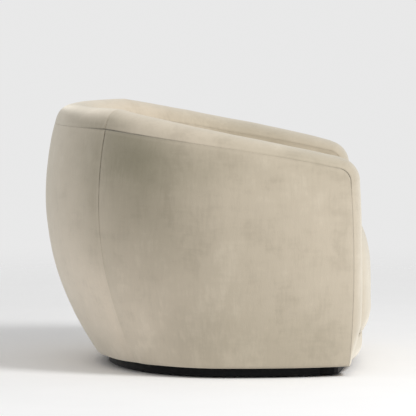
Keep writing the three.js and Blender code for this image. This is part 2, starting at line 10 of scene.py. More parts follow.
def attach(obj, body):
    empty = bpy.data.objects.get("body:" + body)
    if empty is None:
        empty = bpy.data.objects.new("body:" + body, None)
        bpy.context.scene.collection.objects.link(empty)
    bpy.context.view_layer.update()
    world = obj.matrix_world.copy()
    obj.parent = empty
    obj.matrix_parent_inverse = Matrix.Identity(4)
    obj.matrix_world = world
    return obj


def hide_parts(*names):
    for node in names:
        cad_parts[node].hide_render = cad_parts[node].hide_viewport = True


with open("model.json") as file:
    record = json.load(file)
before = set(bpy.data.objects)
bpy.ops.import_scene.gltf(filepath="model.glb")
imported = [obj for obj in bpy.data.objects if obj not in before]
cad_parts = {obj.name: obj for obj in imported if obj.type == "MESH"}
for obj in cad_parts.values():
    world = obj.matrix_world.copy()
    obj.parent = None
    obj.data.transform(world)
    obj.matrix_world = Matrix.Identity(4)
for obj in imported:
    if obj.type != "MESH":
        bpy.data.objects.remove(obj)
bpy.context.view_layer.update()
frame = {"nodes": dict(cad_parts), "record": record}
nodes = frame["nodes"]
print("frame loaded:", len(nodes), "nodes")


# The chair's form: one plan and one profile for every panel, in metres.
form = SimpleNamespace(
    sideHalf=0.590, backReach=0.510, frontReach=0.667, centreY=-0.060,
    hemZ=0.026, bulgeZ=0.455, rearSeamZ=0.660,
    sideTuck=0.043, backTuck=0.144, sideLean=0.035, backLean=0.025,
    armFrontY=-0.390, armFrontZ=0.290, armFrontDraw=0.010, armFrontSpan=0.250,
    cornerAngle=math.radians(44), seamFall=0.108, fallStraight=0.78, seamRadius=0.040,
    seatHalf=0.415, seatBack=0.265, innerReach=0.900, reclineZ=0.400,
    topHalf=0.450, topBack=0.375, reclinePower=1.5,
)


def lerp(a, b, t):
    return a + (b - a) * t


def placesAt(x, y, z):
    return np.stack(np.broadcast_arrays(x, y, z), -1)


def bulge(z, full, tuck, lean):
    below = tuck * ((form.bulgeZ - z) / (form.bulgeZ - form.hemZ)) ** 2
    above = lean * ((z - form.bulgeZ) / (form.rearSeamZ - form.bulgeZ)) ** 2
    return full - np.where(z < form.bulgeZ, below, above)


def outerPoint(angle, z):
    back = bulge(z, form.backReach, form.backTuck, form.backLean)
    reach = np.where(np.sin(angle) > 0, back, form.frontReach)
    side = bulge(z, form.sideHalf, form.sideTuck, form.sideLean)
    return placesAt(side * np.cos(angle), form.centreY + reach * np.sin(angle), z)


def innerPoint(angle, z):
    recline = np.clip((z - form.reclineZ) / (form.rearSeamZ - form.reclineZ), 0, 1) ** form.reclinePower
    side = lerp(form.seatHalf, form.topHalf, recline)
    back = lerp(form.seatBack, form.topBack, recline)
    sine, cosine = np.sin(angle), np.cos(angle)
    ahead = form.frontReach * np.minimum(sine, 0)
    narrowing = np.sqrt(1 - (ahead / form.innerReach) ** 2) * np.sign(cosine)
    x = np.where(sine > 0, side * cosine, side * narrowing)
    return placesAt(x, form.centreY + np.where(sine > 0, back * sine, ahead), z)


def frontLineY(z):
    return form.armFrontY + form.armFrontDraw * ((z - form.armFrontZ) / form.armFrontSpan) ** 2


def angleAtY(y):
    reach = np.where(y > form.centreY, form.backReach - form.backLean, form.frontReach)
    return np.arcsin((y - form.centreY) / reach)


def seamY(angle):
    return outerPoint(angle, np.full_like(angle, form.rearSeamZ))[..., 1]


seamStartY = form.centreY + (form.backReach - form.backLean) * math.sin(form.cornerAngle)
seamRun = seamStartY - form.armFrontY


def fallAt(y):
    return np.clip((seamStartY - y) / seamRun, 0, 1)


def seamZ(y):
    run = fallAt(y)
    return form.rearSeamZ - form.seamFall * (form.fallStraight * run + (1 - form.fallStraight) * run ** 3)


seamSlope = math.atan(form.seamFall * (3 - 2 * form.fallStraight) / seamRun)
cornerFrontY = frontLineY(form.rearSeamZ - form.seamFall - form.seamRadius)
cornerY = cornerFrontY + form.seamRadius
tangentY = cornerY - form.seamRadius * math.sin(seamSlope)
cornerZ = float(seamZ(tangentY)) - form.seamRadius * math.cos(seamSlope)


def bandBaseZ(y):
    rounded = cornerZ + np.sqrt(np.maximum(0, form.seamRadius ** 2 - (cornerY - y) ** 2))
    return np.where(y > tangentY, seamZ(y), rounded)


sides = ((-1, "right"), (1, "left"))
heart = np.array([0, form.centreY, 0.3])  # a point in the chair's middle, to tell inside from outside
upward = np.array([0, 0, 1.0])


# Grids: a surface is sampled finely beside its seams and more coarsely between them.
grid = {
    "step": 0.009, "quickStep": 0.02,
    "near": [0, 0.0007, 0.0015, 0.0025, 0.004, 0.006, 0.009, 0.014, 0.02],
}
thinning = 1
roundAngles = np.linspace(0, 2 * np.pi, 360 // thinning, endpoint=False)


def seamSteps(length):
    near = np.array(grid["near"])
    step = grid["step"]
    count = max(2, math.ceil((length - 2 * near[-1]) / step))
    middle = np.linspace(near[-1], length - near[-1], count + 1)[1:-1]
    return np.concatenate([near, middle, length - near[::-1]]) / length


def runLengths(points, axis):
    steps = np.linalg.norm(np.diff(points, axis=axis), axis=-1)
    start = np.zeros_like(np.take(steps, [0], axis=axis))
    return np.concatenate([start, np.cumsum(steps, axis=axis)], axis=axis)


def normalsOf(surface, outside):
    normal = np.cross(*np.gradient(surface, axis=(0, 1)))
    normal /= np.linalg.norm(normal, axis=-1, keepdims=True) + 1e-12
    return normal if (normal * outside).sum(-1).mean() > 0 else -normal


def gridOf(length, height):
    return np.meshgrid(seamSteps(length), seamSteps(height), indexing="ij")


def smooth(t):
    t = np.clip(t, 0, 1)
    return t * t * (3 - 2 * t)


def noiseOver(points, scale, seed):
    flat = points.reshape(-1, 3) * scale + seed
    return np.array([noise.noise(Vector(p)) for p in flat]).reshape(points.shape[:-1])


def foldedOver(points):
    return np.abs(points) * [1, 0, 0] + points * [0, 1, 1]  # the left half laid on the right one


def edgeDistances(surface):
    u, v = runLengths(surface, 0), runLengths(surface, 1)
    return {"start": u, "end": u[-1:] - u, "low": v, "high": v[:, -1:] - v}


def roll(distance, radius, depth):
    inside = np.clip(1 - distance / radius, 0, 1)
    return depth * (1 - np.sqrt(1 - inside ** 2))


# Upholstery: the surface sinks into each seam, is drawn a little towards it and waves softly between.
# Seams gape towards the joint of three covers, over their reach, and a painted shade darkens their grooves,
# most there.
seamForm = {"radius": 0.0032, "depth": 0.0020, "draw": 0.0012, "dark": 0.95, "plain": 0.08, "reach": 0.20}
rearSeam = {"radius": 0.0032, "depth": 0.0020, "draw": 0.0012, "dark": 0.95, "plain": 0.04, "reach": 0.26}
backSeam = {"radius": 0.0030, "depth": 0.0014, "draw": 0.0010, "dark": 0.95, "plain": 0.02, "reach": 0.075}
frontSeam = {"radius": 0.0032, "depth": 0.0016, "draw": 0.0010, "dark": 0.42, "plain": 0.50, "reach": 0.20}
innerSeam = {"radius": 0.0030, "depth": 0.0008, "draw": 0.0002, "dark": 0.12, "plain": 0.05, "reach": 0.10}
hemForm = {"radius": 0.009, "depth": 0.006, "draw": 0.0, "dark": 0.0, "plain": 1.0, "reach": 1.0}
waveForm = {"height": 0.0018, "scale": 7.0, "fineHeight": 0.0005, "fineScale": 26.0, "clear": 0.05}
puckerForm = {"height": 0.0007, "pitch": 0.023, "reach": 0.011, "drawWidth": 0.045, "start": 0.006}
joint = outerPoint(np.array(form.cornerAngle), np.array(form.rearSeamZ))
armCorner = {"at": (0.49, -0.372, 0.545), "reach": 0.075, "gape": 0.4}  # seams gape here too

# Part of this is nap, part painted: painted shade near the rear joints, low at the front of the sides and
# over the inner pads, painted light low on the back and along the band's top ridge.
# Nap and painted light: places where the nap was brushed to lie darker or lighter and where shade or light is
# painted in, (|x|, y, z), its reach, and how much.
# A reach of 9 takes in the whole width.
napAndShadePlaces = {
    "side": [((0.0, *place), (9.0, *reach), gain) for place, reach, gain in (
        ((0.21, 0.60), (0.15, 0.11), -0.52), ((0.16, 0.42), (0.12, 0.12), -0.20),
        ((-0.05, 0.58), (0.17, 0.07), -0.13), ((0.22, 0.14), (0.16, 0.11), 0.24),
        ((-0.02, 0.10), (0.16, 0.10), -0.12), ((-0.28, 0.06), (0.20, 0.12), -0.13),
        ((-0.34, 0.58), (0.12, 0.09), -0.12), ((-0.05, 0.28), (0.22, 0.20), -0.07),
        ((-0.12, 0.44), (0.10, 0.12), -0.02), ((0.18, 0.27), (0.08, 0.10), 0.08),
        ((0.27, 0.66), (0.07, 0.03), -0.13),
    )],
    "back": [
        ((0.45, 0.30, 0.60), (0.20, 0.10, 0.15), -0.42), ((0.45, 0.31, 0.38), (0.16, 0.08, 0.14), -0.16),
        ((0.44, 0.26, 0.15), (0.18, 0.14, 0.14), 0.28), ((0.15, 0.40, 0.20), (0.36, 0.18, 0.20), 0.45),
        ((0.0, 0.3, 0.3), (9.0, 9.0, 9.0), 0.05),
    ],
    "band": [
        ((0.40, 0.33, 0.68), (0.16, 0.10, 0.035), -0.44), ((0.0, 0.12, 0.68), (9.0, 0.09, 0.06), 0.04),
        ((0.0, -0.08, 0.645), (9.0, 0.08, 0.04), -0.08),
        ((0.0, -0.28, 0.59), (9.0, 0.16, 0.06), -0.22), ((0.28, 0.34, 0.72), (0.30, 0.16, 0.03), 0.38),
    ],
    "pad": [
        ((0.3, 0.0, 0.5), (9.0, 9.0, 9.0), -0.12), ((0.45, -0.13, 0.55), (9.0, 0.12, 9.0), -0.08),
        ((0.25, 0.27, 0.68), (0.5, 0.17, 0.10), 0.30),
    ],
    "plain": [],
}
napAndShadeWobble = {"height": 0.035, "scale": 8.0}


def napAndShadeOver(surface, kind, seed):
    shift = np.stack([noiseOver(surface, napAndShadeWobble["scale"], seed + 30 + k) for k in range(3)], -1)
    place = foldedOver(surface) + napAndShadeWobble["height"] * shift
    napAndShade = np.ones(surface.shape[:-1])
    for centre, reach, gain in napAndShadePlaces[kind]:
        napAndShade = napAndShade + gain * np.exp(-(((place - centre) / reach) ** 2).sum(-1))
    return napAndShade


def upholstered(surface, outside, edges, seed, wave=1.0, kind="plain"):
    normal = normalsOf(surface, outside)
    distances = edgeDistances(surface)
    sink = np.zeros(surface.shape[:2])
    nearest = np.full(surface.shape[:2], 1.0)
    dark = np.zeros(surface.shape[:2])
    away = np.linalg.norm(foldedOver(surface) - joint, axis=-1)
    corner = np.linalg.norm(foldedOver(surface) - armCorner["at"], axis=-1) / armCorner["reach"]
    for side, seam in edges.items():
        if seam is None:
            continue
        d = distances[side]
        gape = lerp(seam["plain"], 1, np.exp(-(away / seam["reach"]) ** 2))
        gape = np.maximum(gape, armCorner["gape"] * np.exp(-corner ** 2))
        sink += roll(d, seam["radius"], seam["depth"]) * lerp(0.2, 1, gape)
        sink += seam["draw"] * (1 - smooth(d / puckerForm["drawWidth"]))
        if seam is not hemForm:
            # painted shade for the seam's groove, strongest near the joint
            dark = np.where(d < nearest, seam["dark"] * gape, dark)
            nearest = np.minimum(nearest, d)
            along = distances["low" if side in ("start", "end") else "start"]
            ripple = np.sin(along / puckerForm["pitch"] * 2 * np.pi + 4 * noiseOver(surface, 9, seed + 5))
            ripple *= 0.4 + gape + noiseOver(surface, 6, seed + 8)
            ripple *= np.exp(-d / puckerForm["reach"]) * smooth(d / puckerForm["start"])
            sink += puckerForm["height"] * ripple
    clear = smooth(nearest / waveForm["clear"])
    waves = waveForm["height"] * noiseOver(surface, waveForm["scale"], seed)
    waves += waveForm["fineHeight"] * noiseOver(surface, waveForm["fineScale"], seed + 11)
    raised = surface + normal * (wave * waves * clear - sink)[..., None]
    dark = dark * (0.8 + 0.8 * noiseOver(surface, 22, seed + 2))
    marks = {"seamDistance": nearest, "seamShade": dark, "napAndShade": napAndShadeOver(surface, kind, seed)}
    return raised, normal, marks


def plainMarks(shape, napAndShade=1.0):
    return {"seamDistance": np.ones(shape), "seamShade": np.zeros(shape), "napAndShade": np.full(shape, napAndShade)}


def closedGrid(name, front, back, marks, material, cap=None):
    nu, nv = front.shape[:2]
    index = np.arange(nu * nv).reshape(nu, nv)
    faces = np.stack([index[:-1, :-1], index[1:, :-1], index[1:, 1:], index[:-1, 1:]], -1).reshape(-1, 4)
    rim = np.concatenate([index[0], index[1:, -1], index[-1, -2::-1], index[-2:0:-1, 0]])
    ahead = np.roll(rim, -1)
    count = nu * nv
    walls = np.stack([rim, ahead, ahead + count, rim + count], -1)
    points = np.concatenate([front.reshape(-1, 3), back.reshape(-1, 3)])
    faces = np.concatenate([faces, faces[:, ::-1] + count, walls])
    a, b, c, d = (points[faces[:, k]] for k in range(4))
    if (a * np.cross(b, c) + a * np.cross(c, d)).sum() < 0:
        faces = faces[:, ::-1]
    if cap is not None:
        held = 1 - smooth(marks["seamDistance"].reshape(-1) / padding["seamHold"])
        hold = np.concatenate([held, np.ones(count)])
        points = puffed(points, faces, hold, np.concatenate([cap.reshape(-1), np.zeros(count)]))
    inside = {**plainMarks(count), "napAndShade": marks["napAndShade"].reshape(-1)}
    marks = {key: np.concatenate([value.reshape(-1), inside[key]]) for key, value in marks.items()}
    return meshPiece(name, points, faces, material, marks)


# Padding: a coarse copy is blown up by cloth simulation, held at its seams, and the fine cover follows it.
padding = {"voxel": 0.010, "pressure": 4.0, "frames": 20, "ease": 0.012, "seamHold": 0.012, "blur": 0.002}


def puffed(points, faces, hold, cap):
    scene = bpy.context.scene
    rough = meshPiece("padding_form", points, faces, None)
    remesh = rough.modifiers.new("remesh", "REMESH")
    remesh.mode, remesh.voxel_size = "VOXEL", padding["voxel"]
    remeshed = rough.evaluated_get(bpy.context.evaluated_depsgraph_get())
    bag = linked("padding_bag", bpy.data.meshes.new_from_object(remeshed))
    start = placesOf(bag.data)
    fine = treeOf(points)
    group = bag.vertex_groups.new(name="hold")
    for k, place in enumerate(start):
        group.add([k], float(hold[fine.find(Vector(place))[1]]), "REPLACE")
    cloth = bag.modifiers.new("cloth", "CLOTH")
    cloth.settings.vertex_group_mass = "hold"
    cloth.settings.use_pressure, cloth.settings.uniform_pressure_force = True, padding["pressure"]
    cloth.settings.effector_weights.gravity = 0
    cloth.settings.shrink_min = -padding["ease"]
    cloth.collision_settings.use_collision = False
    cloth.point_cache.frame_start, cloth.point_cache.frame_end = 1, padding["frames"]
    for step in range(1, padding["frames"] + 1):
        scene.frame_set(step)
    blown = bag.evaluated_get(bpy.context.evaluated_depsgraph_get())
    shift = placesOf(blown.data) - start
    coarse = treeOf(start)
    moved = np.zeros_like(points)
    for k, place in enumerate(points):
        if hold[k] < 1 and cap[k] > 0:
            near = coarse.find_n(Vector(place), 4)
            weights = np.array([1 / (gap + padding["blur"]) ** 2 for _, _, gap in near])
            average = (shift[[i for _, i, _ in near]] * weights[:, None]).sum(0) / weights.sum()
            moved[k] = average * (1 - hold[k])
    length = np.linalg.norm(moved, axis=1) + 1e-9
    moved *= (np.tanh(length / np.maximum(cap, 1e-6)) * cap / length)[:, None]
    for scrap in (bag, rough):
        bpy.data.objects.remove(scrap)
    scene.frame_set(1)
    most = np.linalg.norm(moved, axis=1).max() * 1000
    print(f"  puffed by up to {most:.1f} mm, {len(start)} points")
    return points + moved


def placesOf(mesh):
    places = np.empty(len(mesh.vertices) * 3)
    mesh.vertices.foreach_get("co", places)
    return places.reshape(-1, 3)


def treeOf(points):
    tree = kdtree.KDTree(len(points))
    for k, place in enumerate(points):
        tree.insert(place, k)
    tree.balance()
    return tree


def linked(name, data):
    made = bpy.data.objects.new(name, data)
    bpy.context.scene.collection.objects.link(made)
    return made


def meshPiece(name, points, faces, material, marks=None):
    mesh = bpy.data.meshes.new(name)
    mesh.from_pydata(points.tolist(), [], faces.tolist() if hasattr(faces, "tolist") else faces)
    mesh.polygons.foreach_set("use_smooth", [True] * len(mesh.polygons))
    for key, values in (marks or {}).items():
        mesh.attributes.new(key, "FLOAT", "POINT").data.foreach_set("value", values)
    if material:
        mesh.materials.append(material)
    mesh.update()
    return linked(name, mesh)


def settle(piece, body, replaced=()):
    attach(piece, body)
    if replaced:
        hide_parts(*replaced)


# Shader building: Wire is a socket that takes part in arithmetic, Paint is one material's tree.
class Wire:
    def __init__(self, paint, socket):
        self.paint, self.socket = paint, socket

    def maths(self, operation, *values):
        sockets = dict(enumerate(values))
        return self.paint.node("ShaderNodeMath", {"operation": operation}, sockets)

    def __add__(self, other):
        return self.maths("ADD", self, other)

    def __radd__(self, other):
        return self.maths("ADD", other, self)

    def __sub__(self, other):
        return self.maths("SUBTRACT", self, other)

    def __rsub__(self, other):
        return self.maths("SUBTRACT", other, self)

    def __mul__(self, other):
        return self.maths("MULTIPLY", self, other)

    def __rmul__(self, other):
        return self.maths("MULTIPLY", other, self)

    def __neg__(self):
        return self.maths("MULTIPLY", self, -1.0)

    def between(self, low, high, newLow=0.0, newHigh=1.0):
        settings = {"interpolation_type": "SMOOTHSTEP"}
        sockets = {"Value": self, "From Min": low, "From Max": high, "To Min": newLow, "To Max": newHigh}
        return self.paint.node("ShaderNodeMapRange", settings, sockets)


class Paint:
    def __init__(self, owner):
        owner.use_nodes = True
        self.owner, self.tree = owner, owner.node_tree
        self.tree.nodes.clear()

    def node(self, kind, settings=None, sockets=None, out=0):
        made = self.tree.nodes.new(kind)
        for key, value in (settings or {}).items():
            setattr(made, key, value)
        for key, value in (sockets or {}).items():
            if isinstance(value, Wire):
                self.tree.links.new(value.socket, made.inputs[key])
            else:
                made.inputs[key].default_value = value
        return Wire(self, made.outputs[out]) if len(made.outputs) else None

    def place(self):
        return self.node("ShaderNodeTexCoord", out="Object")

    def stretch(self, place, scale):
        return self.node("ShaderNodeVectorMath", {"operation": "MULTIPLY"}, {0: place, 1: scale})

    def noise(self, place, scale, detail=2.0, roughness=0.5, distortion=0.0):
        sockets = {"Vector": place, "Scale": scale, "Detail": detail, "Roughness": roughness,
                   "Distortion": distortion}
        return self.node("ShaderNodeTexNoise", {}, sockets, out="Fac")

    def mix(self, factor, a, b, blend="MIX"):
        settings = {"data_type": "RGBA", "blend_type": blend}
        return self.node("ShaderNodeMix", settings, {0: factor, 6: colourOf(a), 7: colourOf(b)}, out=2)

    def mark(self, name):
        return self.node("ShaderNodeAttribute", {"attribute_name": name}, out="Fac")

    def bump(self, height, distance, strength):
        return self.node("ShaderNodeBump", {}, {"Height": height, "Distance": distance, "Strength": strength})

    def surface(self, colour, roughness, normal=None, **constants):
        sockets = {"Base Color": colourOf(colour), "Roughness": roughness}
        if normal is not None:
            sockets["Normal"] = normal
        sockets.update({key.replace("_", " "): value for key, value in constants.items()})
        return self.node("ShaderNodeBsdfPrincipled", {}, sockets)

    def show(self, shader, output="ShaderNodeOutputMaterial"):
        self.node(output, {}, {"Surface": shader})
        return self.owner


def colourOf(value):
    return value if isinstance(value, Wire) or len(value) == 4 else (*value, 1.0)


def newPaint(name):
    return Paint(bpy.data.materials.new(name))


# Velvet: nap patches with painted light and shade, brushed streaks, a fine rib, a painted shade in the seams
# and a lighter ridge beside them, part worn nap and part painted highlight.
velvet = {
    "dark": (0.517, 0.445, 0.340),
    "plain": (0.597, 0.517, 0.401),
    "light": (0.664, 0.58, 0.457),
    "grooveShade": (0.13, 0.11, 0.08),
    "laidBackAndShaded": (0.50, 0.505, 0.445),  # how far nap that lies away, and painted shade, take the colour down, at a value of 0.5 of the nap mark
    "grain": 0.03,
    "roughness": 0.86,
    "sheen": 1.0,
    "sheenRoughness": 0.6,
    "sheenTint": (1.0, 0.955, 0.85, 1.0),
}


def makeVelvet():
    paint = newPaint("velvet")
    place = paint.place()
    patches = paint.noise(place, 4.6, 3.0, 0.5, 0.5)
    blotches = paint.noise(paint.stretch(place, (1.0, 1.0, 0.75)), 15.0, 4.0, 0.62, 0.4)
    smudges = paint.noise(paint.stretch(place, (11.0, 11.0, 44.0)), 1.0, 4.0, 0.6, 0.3)
    streaks = paint.noise(paint.stretch(place, (120.0, 120.0, 17.0)), 1.0, 3.0, 0.6, 0.3)
    fibres = paint.noise(place, 520.0, 2.0, 0.6)
    rib = paint.noise(paint.stretch(place, (620.0, 620.0, 130.0)), 1.0, 1.0, 0.5)
    combed = (0.5 * patches + 0.5 * smudges).between(0.42, 0.6)  # streaks show only in places
    lie = 0.36 * patches + 0.34 * blotches + 0.18 * smudges + 0.12 * streaks - 0.5
    colour = paint.mix(lie.between(0.0, 0.13), velvet["plain"], velvet["light"])
    colour = paint.mix((-lie).between(0.0, 0.13), colour, velvet["dark"])
    grain = 0.5 * fibres + 0.5 * (combed * streaks + (1.0 - combed) * 0.5)
    grain = grain.between(0.3, 0.7, -velvet["grain"], velvet["grain"])
    # the nap mark also carries painted light and shade, which raise or lower the colour here
    lyingAndShaded = (paint.mark("napAndShade") + grain) * 2.0 - 1.0
    tone = paint.node("ShaderNodeMix", {"data_type": "RGBA", "clamp_factor": False}, {
        0: lyingAndShaded, 6: colourOf(velvet["laidBackAndShaded"]), 7: (1.0, 1.0, 1.0, 1.0)}, out=2)
    colour = paint.mix(1.0, colour, tone, "MULTIPLY")
    seam = paint.mark("seamDistance")
    # painted shade in the seam grooves
    grooveShade = seam.between(0.0004, 0.0028, 1.0, 0.0) * paint.mark("seamShade")
    # a lighter ridge beside each seam: partly worn nap, partly a painted highlight where the seam's edge
    # catches light
    wearAndHighlight = seam.between(0.003, 0.006) * seam.between(0.007, 0.014, 1.0, 0.0)
    colour = paint.mix(0.12 * wearAndHighlight, colour, velvet["light"])
    colour = paint.mix(grooveShade, colour, velvet["grooveShade"])
    rough = velvet["roughness"] + 0.08 * (blotches - 0.5)
    relief = 0.5 * rib + 0.3 * fibres + 0.35 * streaks + 0.8 * blotches
    normal = paint.bump(relief, 0.0009, 0.5)
    return paint.show(paint.surface(
        colour, rough, normal, Sheen_Weight=velvet["sheen"], Sheen_Roughness=velvet["sheenRoughness"],
        Sheen_Tint=velvet["sheenTint"], Specular_IOR_Level=0.15))


# Wood, metal, plastic and the plain cloths of the inside and the underside
woodTones = {
    "plywood": {"deep": (0.42, 0.26, 0.11), "light": (0.62, 0.44, 0.24), "roughness": 0.75},
    "beech": {"deep": (0.50, 0.31, 0.15), "light": (0.70, 0.50, 0.30), "roughness": 0.6},
    "fibreboard": {"deep": (0.30, 0.19, 0.09), "light": (0.44, 0.30, 0.16), "roughness": 0.85},
}
plinthFinish = {"black": (0.006, 0.006, 0.007), "rubbed": (0.03, 0.028, 0.027), "roughness": 0.55}


def makeWood(name):
    tones = woodTones[name]
    paint = newPaint(name)
    place = paint.place()
    rings = paint.noise(paint.stretch(place, (9.0, 9.0, 90.0)), 1.0, 4.0, 0.55, 0.8)
    fibre = paint.noise(paint.stretch(place, (60.0, 60.0, 700.0)), 1.0, 2.0)
    tone = (0.7 * rings + 0.3 * fibre).between(0.3, 0.7)
    colour = paint.mix(tone, tones["deep"], tones["light"])
    rough = tones["roughness"] + 0.1 * (fibre - 0.5)
    return paint.show(paint.surface(colour, rough, paint.bump(0.6 * rings + fibre, 0.0005, 0.5)))


def makePlinth():
    paint = newPaint("plinth")
    place = paint.place()
    height = paint.node("ShaderNodeSeparateXYZ", {}, {0: place}, out="Z")
    grain = paint.noise(paint.stretch(place, (14.0, 14.0, 160.0)), 1.0, 4.0, 0.6, 0.5)
    scuffs = paint.noise(place, 46.0, 4.0, 0.7)
    foot = height.between(0.004, 0.009, 1.0, 0.0)
    # on the plinth this is wear alone: scuffs, most near the floor
    wearAndHighlight = (foot * 0.9 + 0.25) * scuffs.between(0.52, 0.7)
    colour = paint.mix(wearAndHighlight, plinthFinish["black"], plinthFinish["rubbed"])
    rough = plinthFinish["roughness"] + 0.3 * wearAndHighlight + 0.12 * (grain - 0.5)
    normal = paint.bump(grain + 0.4 * scuffs, 0.0004, 0.4)
    return paint.show(paint.surface(colour, rough, normal, Specular_IOR_Level=0.12))


def makeNylon():
    paint = newPaint("nylon")
    place = paint.place()
    fine = paint.noise(place, 800.0, 2.0)
    scratches = paint.noise(paint.stretch(place, (40.0, 400.0, 40.0)), 1.0, 3.0, 0.6)
    colour = paint.mix(scratches.between(0.55, 0.75), (0.02, 0.02, 0.022), (0.07, 0.07, 0.072))
    return paint.show(paint.surface(colour, 0.45 + 0.2 * scratches, paint.bump(fine, 0.0002, 0.4)))


def makeSteel():
    paint = newPaint("steel")
    place = paint.place()
    drawn = paint.noise(paint.stretch(place, (90.0, 600.0, 90.0)), 1.0, 3.0)
    tarnish = paint.noise(place, 24.0, 3.0, 0.6)
    colour = paint.mix(tarnish.between(0.45, 0.7), (0.42, 0.43, 0.44), (0.22, 0.21, 0.20))
    return paint.show(paint.surface(
        colour, 0.3 + 0.25 * tarnish, paint.bump(drawn, 0.0002, 0.4), Metallic=0.95))


clothTones = {
    "webbing": {"deep": (0.025, 0.024, 0.022), "light": (0.075, 0.072, 0.066), "pitch": 620.0},
    "felt": {"deep": (0.19, 0.17, 0.145), "light": (0.33, 0.31, 0.27), "pitch": 380.0},
    "cambric": {"deep": (0.006, 0.006, 0.006), "light": (0.018, 0.018, 0.018), "pitch": 900.0},
    "zipTape": {"deep": (0.30, 0.26, 0.20), "light": (0.46, 0.41, 0.32), "pitch": 1400.0},
}


def makeCloth(name):
    tones = clothTones[name]
    paint = newPaint(name)
    place = paint.place()
    waves = {}
    for axis in ("X", "Y"):
        settings = {"wave_type": "BANDS", "bands_direction": axis}
        sockets = {"Vector": place, "Scale": tones["pitch"] / 6.3, "Distortion": 1.2, "Detail": 1.0}
        waves[axis] = paint.node("ShaderNodeTexWave", settings, sockets, out="Fac")
    lint = paint.noise(place, 260.0, 4.0, 0.7)
    mottle = paint.noise(place, 12.0, 3.0)
    weave = waves["X"] * waves["Y"]
    tone = (0.4 * weave + 0.35 * lint + 0.25 * mottle).between(0.2, 0.65)
    colour = paint.mix(tone, tones["deep"], tones["light"])
    return paint.show(paint.surface(
        colour, 0.9 + 0.08 * (lint - 0.5), paint.bump(weave + lint, 0.0005, 0.6), Sheen_Weight=0.1))


materials = {
    "velvet": makeVelvet(),
    "plinth": makePlinth(),
    "nylon": makeNylon(),
    "steel": makeSteel(),
    **{name: makeWood(name) for name in woodTones},
    **{name: makeCloth(name) for name in clothTones},
}
slotOf = {part["node"]: part["material_slot"] for part in frame["record"]["subparts"]}
for name, node in nodes.items():
    if not node.material_slots:
        node.data.materials.append(materials[slotOf[name]])
    for holder in node.material_slots:
        holder.link = "OBJECT"
        holder.material = materials[slotOf[name]]
print("materials made:", ", ".join(materials))


# Outer panels
outerPanel = {
    "thickness": 0.019, "seed": 3.0,
    "sideLength": 0.78, "sideHeight": 0.6, "backLength": 0.84, "backHeight": 0.66,
}


def coverFrame(name, front, back, marks, replaced, cap=None):
    piece = closedGrid(name, front, back, marks, materials["velvet"], cap)
    settle(piece, "frame", replaced)


def mirror(points, side):
    return points * np.array([side, 1, 1])


def sidePanelSurface(u, v):
    front = angleAtY(frontLineY(lerp(form.hemZ, cornerZ, v)))
    angle = lerp(front, form.cornerAngle, u)
    z = lerp(form.hemZ, bandBaseZ(seamY(angle)), v)
    return outerPoint(angle, z)


def buildSidePanel(side, word):
    surface = mirror(sidePanelSurface(*gridOf(outerPanel["sideLength"], outerPanel["sideHeight"])), side)
    edges = {"start": frontSeam, "end": rearSeam, "low": hemForm, "high": seamForm}
    seed = outerPanel["seed"] + side
    front, normal, marks = upholstered(surface, surface - heart, edges, seed, kind="side")
    back = surface - normal * outerPanel["thickness"]
    coverFrame(f"side_panel_cover_{word}", front, back, marks, [f"outer_side_panel_{word}"])


def buildBackPanel():
    u, v = gridOf(outerPanel["backLength"], outerPanel["backHeight"])
    angle = lerp(form.cornerAngle, math.pi - form.cornerAngle, u)
    surface = outerPoint(angle, lerp(form.hemZ, form.rearSeamZ, v))
    edges = {"start": rearSeam, "end": rearSeam, "low": hemForm, "high": backSeam}
    front, normal, marks = upholstered(surface, surface - heart, edges, outerPanel["seed"], kind="back")
    back = surface - normal * outerPanel["thickness"]
    coverFrame("back_panel_cover", front, back, marks, ["outer_back_panel"])


for side, word in sides:
    buildSidePanel(side, word)
buildBackPanel()
print("outer panels built")


# Inner pads: thicker than the outer panels, and puffed above the seat
innerPad = {
    "depth": 0.040, "backExtra": 0.013, "bottomZ": 0.0930, "swell": 0.003, "fade": 0.10, "puff": 0.009,
    "seatZ": 0.42, "seatBlend": 0.06, "seed": 21.0,
    "armLength": 0.66, "armHeight": 0.5, "backLength": 0.68, "backHeight": 0.57,
}


def buildPad(name, surface, u, angle, edges, seed, replaced):
    normal = normalsOf(surface, heart - surface)
    aboveSeat = smooth((surface[..., 2] - innerPad["seatZ"]) / innerPad["seatBlend"])
    room = aboveSeat * smooth(edgeDistances(surface)["high"] / innerPad["fade"])
    swollen = surface + normal * (innerPad["swell"] * room * (1 - np.abs(2 * u - 1) ** 3))[..., None]
    front, _, marks = upholstered(swollen, heart - surface, edges, seed, kind="pad")
    depth = innerPad["depth"] + innerPad["backExtra"] * np.maximum(0, np.sin(angle)) ** 2
    back = surface - normal * depth[..., None]
    cap = innerPad["puff"] * (0.25 + 0.75 * room) * aboveSeat
    coverFrame(name, front, back, marks, replaced, cap)


def buildInnerPads():
    edges = {"start": frontSeam, "end": innerSeam, "low": None, "high": innerSeam}
    u, v = gridOf(innerPad["armLength"], innerPad["armHeight"])
    start = angleAtY(frontLineY(lerp(innerPad["bottomZ"], cornerZ, v)))
    angle = lerp(start, form.cornerAngle, u)
    surface = innerPoint(angle, lerp(innerPad["bottomZ"], bandBaseZ(seamY(angle)), v))
    for side, word in sides:
        buildPad(f"inner_arm_cover_{word}", mirror(surface, side), u, angle, edges,
                 innerPad["seed"] + side, [f"inner_arm_pad_{word}"])
    u, v = gridOf(innerPad["backLength"], innerPad["backHeight"])
    angle = lerp(form.cornerAngle, math.pi - form.cornerAngle, u)
    surface = innerPoint(angle, lerp(innerPad["bottomZ"], form.rearSeamZ, v))
    edges = {**edges, "start": innerSeam}
    buildPad("inner_back_cover", surface, u, angle, edges, innerPad["seed"], ["inner_back_pad"])


buildInnerPads()
print("inner pads built")


